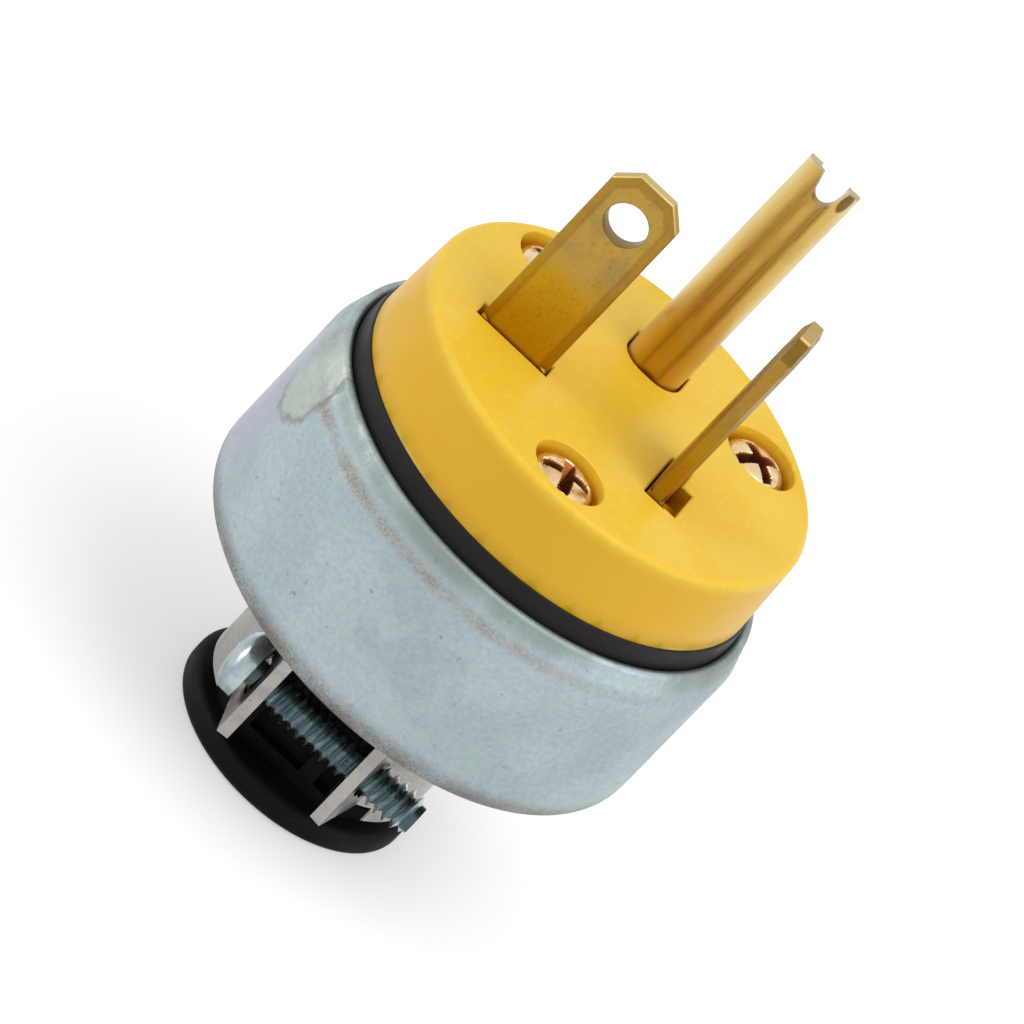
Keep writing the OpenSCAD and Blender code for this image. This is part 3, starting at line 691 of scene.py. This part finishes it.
@dataclass(frozen=True)
class ScrewHead:
    """A round head as one closed skin on a ring grid, with its drive recess pressed in and a plain shank below.

    Sizes are in millimetres. The walls and the ends of the recess fall by their slopes.
    """

    radius: float
    height: float
    dome: float
    shank_r: float
    shank_len: float
    drive: Drive
    drive_depth: float
    drive_span: float
    drive_width: float
    drive_turn: float
    wall_slope: float = 5.0
    end_slope: float = 1.3
    dome_power: float = 2.6
    least_height: float = 0.05
    rings: int = 44
    sides: int = 120

    def recess(self, x: float, y: float) -> float:
        """Depth of the drive recess at a point of the head, in millimetres."""
        turn = math.radians(self.drive_turn)
        side = abs(x * math.cos(turn) + y * math.sin(turn))
        reach = abs(y * math.cos(turn) - x * math.sin(turn))
        across, along = sorted((side, reach)) if self.drive is Drive.CROSS else (side, 0.0)
        wall = (self.drive_width - across) * self.wall_slope
        slope = (self.drive_span - along) * self.end_slope
        return max(0.0, min(wall, slope, self.drive_depth))

    def top(self, share: float, x: float, y: float) -> float:
        """Height of the head's surface above its seat, in millimetres."""
        crown = self.height - self.dome + self.dome * math.sqrt(max(0.0, 1.0 - share ** self.dome_power))
        return max(crown - self.recess(x, y), self.least_height)

    def mesh(self, name: str) -> bpy.types.Mesh:
        """Builds the head and shank about Z, with the head's seat at zero.

        Args:
            name: Mesh name.

        Returns:
            A closed mesh in metres.
        """
        bm = bmesh.new()
        pressed = bm.verts.layers.float.new(SCREW_SHADE)
        loops = []
        shares = [(i + 1) / self.rings for i in range(self.rings)]
        turns = [2.0 * math.pi * j / self.sides for j in range(self.sides)]
        for share in shares:
            spots = [(self.radius * share * math.cos(t), self.radius * share * math.sin(t)) for t in turns]
            loop = [bm.verts.new((mm(x), mm(y), mm(self.top(share, x, y)))) for x, y in spots]
            # Painted shade in the drive recess, by its depth.
            for vert, (x, y) in zip(loop, spots):
                vert[pressed] = self.recess(x, y) / self.drive_depth
            loops.append(loop)
        # Painted shade, full on the shank and fading out across the underside of the head.
        for radius, level, dark in ((self.radius, 0.0, 0.0), (self.shank_r, 0.0, 1.0),
                                    (self.shank_r, -self.shank_len, 1.0)):
            loop = [bm.verts.new(metres((radius * math.cos(t), radius * math.sin(t), level))) for t in turns]
            for vert in loop:
                vert[pressed] = dark
            loops.append(loop)
        for inner, outer in zip(loops, loops[1:]):
            for j in range(self.sides):
                k = (j + 1) % self.sides
                bm.faces.new((inner[j], outer[j], outer[k], inner[k]))
        for loop, level in ((loops[0], self.top(0.0, 0.0, 0.0)), (loops[-1], -self.shank_len)):
            middle = bm.verts.new((0.0, 0.0, mm(level)))
            middle[pressed] = 1.0
            for j in range(self.sides):
                bm.faces.new((middle, loop[j], loop[(j + 1) % self.sides]))
        bmesh.ops.recalc_face_normals(bm, faces=bm.faces)
        mesh = bpy.data.meshes.new(name)
        bm.to_mesh(mesh)
        bm.free()
        return mesh


class NodeTool:
    """A Geometry Nodes tree with named inputs that leaves a plain mesh behind."""

    def __init__(self, name: str) -> None:
        """Starts an empty tree."""
        self.tree = bpy.data.node_groups.new(name, "GeometryNodeTree")
        self.tree.interface.new_socket(name="Geometry", in_out="OUTPUT", socket_type="NodeSocketGeometry")
        self.values: dict[str, Any] = {}
        self.entry = self.add("NodeGroupInput")

    def add(self, kind: str, settings: Settings = None, inputs: Inputs = None) -> bpy.types.Node:
        """Adds a node to the tree."""
        return add_node(self.tree, kind, settings, inputs)

    def value(self, name: str, kind: str, value: Any) -> Socket:
        """Adds a named input.

        Args:
            name: Input name.
            kind: Socket type.
            value: Value set on the modifier.

        Returns:
            The socket inside the tree.
        """
        socket = self.tree.interface.new_socket(name=name, in_out="INPUT", socket_type=kind)
        self.values[socket.identifier] = value
        return self.entry.outputs[name]

    def run(self, geometry: Socket, material: Socket) -> bpy.types.Mesh:
        """Realizes the geometry, sets its material and evaluates the tree.

        Args:
            geometry: What the tree made.
            material: Material input of the tree.

        Returns:
            A plain mesh.
        """
        real = self.add("GeometryNodeRealizeInstances", None, {0: geometry})
        dressed = self.add("GeometryNodeSetMaterial", None, {"Geometry": real.outputs[0], "Material": material})
        self.add("NodeGroupOutput", None, {0: dressed.outputs[0]})
        holder = put_in_scene(self.tree.name, bpy.data.meshes.new(self.tree.name))
        modifier = holder.modifiers.new("nodes", "NODES")
        modifier.node_group = self.tree
        for identifier, value in self.values.items():
            modifier[identifier] = value
        evaluated = holder.evaluated_get(bpy.context.evaluated_depsgraph_get())
        mesh = bpy.data.meshes.new_from_object(evaluated)
        bpy.data.objects.remove(holder)
        return mesh


@dataclass
class AssemblyScrews:
    """The three cross recessed screws that hold the face on."""

    circle_r: float = 13.35
    seat_z: float = 38.6
    angles: Triple = (272.0, 38.5, 142.0)
    head: ScrewHead = ScrewHead(radius=2.7, height=2.2, dome=1.1, shank_r=1.7, shank_len=15.9, drive=Drive.CROSS,
                                drive_depth=1.5, drive_span=2.15, drive_width=0.52, drive_turn=12.0)

    def build(self, finishes: Finishes) -> None:
        """Sets one modelled screw on the points of the screw circle."""
        model = put_in_scene("screw_model", self.head.mesh("screw_model"))
        tool = NodeTool("assembly_screw_circle")
        radius = tool.value("Circle radius", "NodeSocketFloat", mm(self.circle_r))
        seat = tool.value("Seat height", "NodeSocketFloat", mm(self.seat_z))
        screw = tool.value("Screw", "NodeSocketObject", model)
        finish = tool.value("Finish", "NodeSocketMaterial", finishes.face_screw)
        points = tool.add("GeometryNodePoints", None, {"Count": len(self.angles)})
        order = tool.add("GeometryNodeInputIndex").outputs[0]
        places = [tool.value(f"Angle of screw {number}", "NodeSocketFloat", math.radians(degrees))
                  for number, degrees in enumerate(self.angles, 1)]
        angle = places[0]
        for number, place in enumerate(places[1:], 1):
            here = tool.add("FunctionNodeCompare", {"data_type": "INT", "operation": "EQUAL"},
                            {2: order, 3: number})
            angle = tool.add("GeometryNodeSwitch", {"input_type": "FLOAT"},
                             {"Switch": here.outputs[0], "False": angle, "True": place}).outputs[0]
        sides = [tool.add(MATH, {"operation": part}, {0: angle}).outputs[0] for part in ("COSINE", "SINE")]
        across, along = (tool.add(MATH, {"operation": "MULTIPLY"}, {0: side, 1: radius}).outputs[0]
                         for side in sides)
        spot = tool.add("ShaderNodeCombineXYZ", None, {"X": across, "Y": along, "Z": seat})
        placed = tool.add("GeometryNodeSetPosition", None,
                          {"Geometry": points.outputs[0], "Position": spot.outputs[0]})
        source = tool.add("GeometryNodeObjectInfo", None, {"Object": screw})
        facing = tool.add("ShaderNodeCombineXYZ", None, {"Z": angle})
        copies = tool.add("GeometryNodeInstanceOnPoints", None,
                          {"Points": placed.outputs[0], "Instance": source.outputs["Geometry"],
                           "Rotation": facing.outputs[0]})
        mesh = tool.run(copies.outputs[0], finish)
        bpy.data.objects.remove(model)
        make_piece(mesh, "face_screws", finishes.face_screw, ("assembly_screws",))


@dataclass
class CordClamp:
    """The strap round the bushing, its screw and the bushing itself."""

    strap_edge: float = 0.14
    bushing_edge: float = 0.25
    screw_y: float = -10.21
    screw_z: float = 8.85
    seat_x: float = -6.24
    thread_len: float = 16.4
    thread_r: float = 1.75
    pitch: float = 0.8
    steps_per_turn: int = 40
    ridge_sides: int = 3
    # Share of the painted shade that the thread takes.
    thread_shade: float = 0.035
    head: ScrewHead = ScrewHead(radius=2.75, height=2.1, dome=1.3, shank_r=1.2, shank_len=16.4, drive=Drive.SLOT,
                                drive_depth=0.9, drive_span=2.75, drive_width=0.4, drive_turn=119.0)

    def build(self, finishes: Finishes) -> None:
        """Builds the strap, the bushing and the screw."""
        make_piece(softened_mesh("cord_clamp", self.strap_edge), "clamp_strap", finishes.strap,
                   ("cord_clamp",))
        make_piece(softened_mesh("cord_bushing", self.bushing_edge, turned=True), "bushing", finishes.rubber,
                   ("cord_bushing",))
        self.build_screw(finishes)

    def build_screw(self, finishes: Finishes) -> None:
        """Winds the thread round the shank and joins the slotted head to it."""
        model = put_in_scene("head_model", self.head.mesh("head_model"))
        tool = NodeTool("clamp_screw_thread")
        ridge_r = self.pitch / math.sqrt(3.0)
        turns = tool.value("Turns", "NodeSocketFloat", (self.thread_len - self.pitch) / self.pitch)
        length = tool.value("Length", "NodeSocketFloat", mm(self.thread_len - self.pitch))
        middle = tool.value("Ridge middle radius", "NodeSocketFloat", mm(self.thread_r - ridge_r))
        ridge = tool.value("Ridge radius", "NodeSocketFloat", mm(ridge_r))
        head = tool.value("Head", "NodeSocketObject", model)
        finish = tool.value("Finish", "NodeSocketMaterial", finishes.clamp_screw)
        spiral = tool.add("GeometryNodeCurveSpiral", None,
                          {"Resolution": self.steps_per_turn, "Rotations": turns, "Start Radius": middle,
                           "End Radius": middle, "Height": length})
        upright = tool.add("GeometryNodeSetCurveNormal", {"mode": "Z_UP"}, {"Curve": spiral.outputs[0]})
        section = tool.add("GeometryNodeCurvePrimitiveCircle", None,
                           {"Resolution": self.ridge_sides, "Radius": ridge})
        pointed = tool.add("GeometryNodeTransform", None,
                           {"Geometry": section.outputs[0], "Rotation": (0.0, 0.0, math.pi)})
        swept = tool.add("GeometryNodeCurveToMesh", None,
                         {"Curve": upright.outputs[0], "Profile Curve": pointed.outputs[0], "Fill Caps": True})
        down = tool.add("GeometryNodeTransform", None,
                        {"Geometry": swept.outputs[0], "Rotation": (math.pi, 0.0, 0.0),
                         "Translation": (0.0, 0.0, -mm(self.pitch / 2))})
        # The thread takes that share of painted shade.
        shaded_thread = tool.add("GeometryNodeStoreNamedAttribute", {"data_type": "FLOAT", "domain": "POINT"},
                         {"Geometry": down.outputs[0], "Name": SCREW_SHADE, "Value": self.thread_shade})
        source = tool.add("GeometryNodeObjectInfo", None, {"Object": head})
        joined = tool.add("GeometryNodeJoinGeometry")
        for part in (shaded_thread.outputs[0], source.outputs["Geometry"]):
            tool.tree.links.new(part, joined.inputs[0])
        placed = tool.add("GeometryNodeTransform", None,
                          {"Geometry": joined.outputs[0], "Rotation": (0.0, -math.pi / 2, 0.0),
                           "Translation": metres((self.seat_x, self.screw_y, self.screw_z))})
        mesh = tool.run(placed.outputs[0], finish)
        bpy.data.objects.remove(model)
        make_piece(mesh, "strap_screw", finishes.clamp_screw, ("clamp_screw",))


@dataclass
class Housing:
    """The steel shell, the black liner and the yellow face."""

    shell_edge: float = 0.1
    liner_edge: float = 0.15
    face_edge: float = 0.18
    face_z: float = 41.0
    front_within: float = 0.05

    def build(self, finishes: Finishes) -> None:
        """Copies the three housings and rounds the openings of the face."""
        make_piece(softened_mesh("steel_shell", self.shell_edge, turned=True), "shell", finishes.shell,
                   ("steel_shell",))
        make_piece(softened_mesh("insulating_liner", self.liner_edge, turned=True), "liner", finishes.band,
                   ("insulating_liner",))
        make_piece(softened_mesh("front_face", self.face_edge, segments=3, keep=self.on_front, turned=True),
                   "face", finishes.nylon, ("front_face",))

    def on_front(self, middle: Vector) -> bool:
        """Whether an edge lies on the face's front surface."""
        return middle.z > self.face_z - self.front_within


@dataclass
class Contacts:
    """The two flat blades and the formed ground pin."""

    blade_edge: float = 0.22
    pin_edge: float = 0.2
    groove_half: float = 1.3
    groove_y: Pair = (5.0, 6.4)
    groove_top_z: float = 58.0

    def build(self, finishes: Finishes) -> None:
        """Copies the three contacts and rounds their stamped edges."""
        for node, edge, finish in (("line_blade", self.blade_edge, finishes.line_brass),
                                   ("neutral_blade", self.blade_edge, finishes.neutral_brass),
                                   ("ground_pin", self.pin_edge, finishes.ground_brass)):
            make_piece(softened_mesh(node, edge, segments=3, keep=self.off_groove), node + "_contact", finish,
                       (node,))

    def off_groove(self, middle: Vector) -> bool:
        """Whether an edge is other than the two that bound the shallow groove down the pin's front."""
        return not (abs(middle.x) < self.groove_half and self.groove_y[0] < middle.y < self.groove_y[1]
                    and middle.z < self.groove_top_z)


class HiddenParts:
    """The pieces inside the shell, which keep the solids' own meshes."""

    def dress(self, finishes: Finishes) -> None:
        """Gives each inner node its finish."""
        table = {
            "terminal_block": finishes.phenolic, "line_wire_clamp": finishes.terminal,
            "neutral_wire_clamp": finishes.nickel, "ground_wire_clamp": finishes.terminal,
            "line_terminal_screw": finishes.terminal, "neutral_terminal_screw": finishes.nickel,
            "ground_terminal_screw": finishes.green, "bonding_strip": finishes.terminal,
            "threaded_inserts": finishes.terminal,
        }
        for name, material in table.items():
            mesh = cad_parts[name].data
            mesh.materials.clear()
            mesh.materials.append(material)
            LOG.info("%s: dressed", name)


@dataclass(frozen=True)
class SoftLamp:
    """A square soft lamp that faces the plug's middle, with its place and side in millimetres."""

    name: str
    place: Triple
    side: float
    watts: float
    aim: Triple = (0.0, 0.0, 28.0)

    def hang(self) -> None:
        """Hangs the lamp and turns it to the plug."""
        data = bpy.data.lights.new(self.name, "AREA")
        data.size = mm(self.side)
        data.energy = self.watts
        lamp = put_in_scene(self.name, data)
        lamp.location = metres(self.place)
        lamp.rotation_mode = "QUATERNION"
        lamp.rotation_quaternion = (metres(self.aim) - lamp.location).to_track_quat("-Z", "Y")


@dataclass
class Studio:
    """Pale floor, soft light from all round, three large lamps and the photograph's camera."""

    camera_at: Triple = (-21.04, -881.83, 519.47)
    aim_at: Triple = (-0.324, -1.366, 28.537)
    roll: float = -43.85
    focal_px: float = 13681.0
    image_px: float = 1024.0
    sensor: float = 36.0
    clip: Pair = (10.0, 50000.0)
    sky: float = 0.62
    floor_half: float = 4000.0
    floor_lit: str = "CECECE"
    floor_seen: str = "DCDCDC"
    floor_lift: float = 0.42
    lamps: tuple[SoftLamp, ...] = (
        SoftLamp("key_light", place=(260, -200, 640), side=600, watts=2.05),
        SoftLamp("left_light", place=(-620, -120, 190), side=420, watts=1.25),
        SoftLamp("right_light", place=(620, -60, 190), side=420, watts=0.5))

    def build(self) -> None:
        """Builds the stage."""
        self.place_camera()
        self.lay_floor()
        self.light_world()
        for lamp in self.lamps:
            lamp.hang()

    def place_camera(self) -> None:
        """Sets the camera at the photograph's angle, turned about its line of sight."""
        data = bpy.data.cameras.new("camera")
        data.sensor_width = self.sensor
        data.lens = self.focal_px / self.image_px * self.sensor
        data.clip_start, data.clip_end = (mm(distance) for distance in self.clip)
        camera = put_in_scene("camera", data)
        place = metres(self.camera_at)
        ahead = (metres(self.aim_at) - place).normalized()
        level = ahead.cross(Vector((0, 0, 1))).normalized()
        rise = level.cross(ahead)
        turn = math.radians(self.roll)
        up = rise * math.cos(turn) + level * math.sin(turn)
        right = ahead.cross(up)
        camera.matrix_world = Matrix.Translation(place) @ Matrix((right, up, -ahead)).transposed().to_4x4()
        bpy.context.scene.camera = camera

    def seen_rays(self, tree: bpy.types.NodeTree) -> Socket:
        """Mask of the rays that show a surface to the eye, straight or in metal and glass."""
        path = add_node(tree, "ShaderNodeLightPath")
        seen = path.outputs["Is Camera Ray"]
        for ray in ("Is Glossy Ray", "Is Transmission Ray"):
            seen = add_node(tree, MATH, {"operation": "MAXIMUM"}, {0: seen, 1: path.outputs[ray]}).outputs[0]
        return seen

    def lay_floor(self) -> None:
        """Lays a large pale floor under the plug."""
        mesh = bpy.data.meshes.new("floor")
        bm = bmesh.new()
        bmesh.ops.create_grid(bm, x_segments=2, y_segments=2, size=mm(self.floor_half))
        bm.to_mesh(mesh)
        bm.free()
        floor = put_in_scene("floor", mesh)
        # Matt paper sweep: plain and without a glint, lifted to white where it is seen.
        s = Surface("pale_floor",
                    {"Roughness": 0.9, "Specular IOR Level": 0.0, "Emission Color": linear("FFFFFF")})
        seen = self.seen_rays(s.tree)
        tone = s.layered(self.floor_lit, [(seen, 1.0, self.floor_seen)])
        lift = s.both(seen, self.floor_lift)
        s.tree.links.new(tone, s.shader.inputs["Base Color"])
        s.tree.links.new(lift, s.shader.inputs["Emission Strength"])
        mesh.materials.append(s.material)

    def light_world(self) -> None:
        """Makes the world plain white to the eye and in reflections, and a soft sky for the rest."""
        world = bpy.data.worlds.new("studio")
        bpy.context.scene.world = world
        world.use_nodes = True
        tree = world.node_tree
        tree.nodes.clear()
        strength = add_node(tree, "ShaderNodeMapRange", None,
                            {"Value": self.seen_rays(tree), "To Min": self.sky, "To Max": 1.0})
        sky = add_node(tree, "ShaderNodeBackground", None,
                       {"Color": linear("FFFFFF"), "Strength": strength.outputs[0]})
        add_node(tree, "ShaderNodeOutputWorld", None, {"Surface": sky.outputs[0]})


def main() -> None:
    """Builds the stage and every sub-assembly."""
    logging.basicConfig(level=logging.INFO, format="%(name)s %(message)s")
    bpy.context.scene.view_settings.view_transform = "Standard"
    finishes = Finishes()
    Studio().build()
    for assembly in (Housing(), Contacts(), CordClamp(), AssemblyScrews()):
        assembly.build(finishes)
        LOG.info("%s: built", type(assembly).__name__)
    HiddenParts().dress(finishes)


if __name__ == "__main__":
    main()
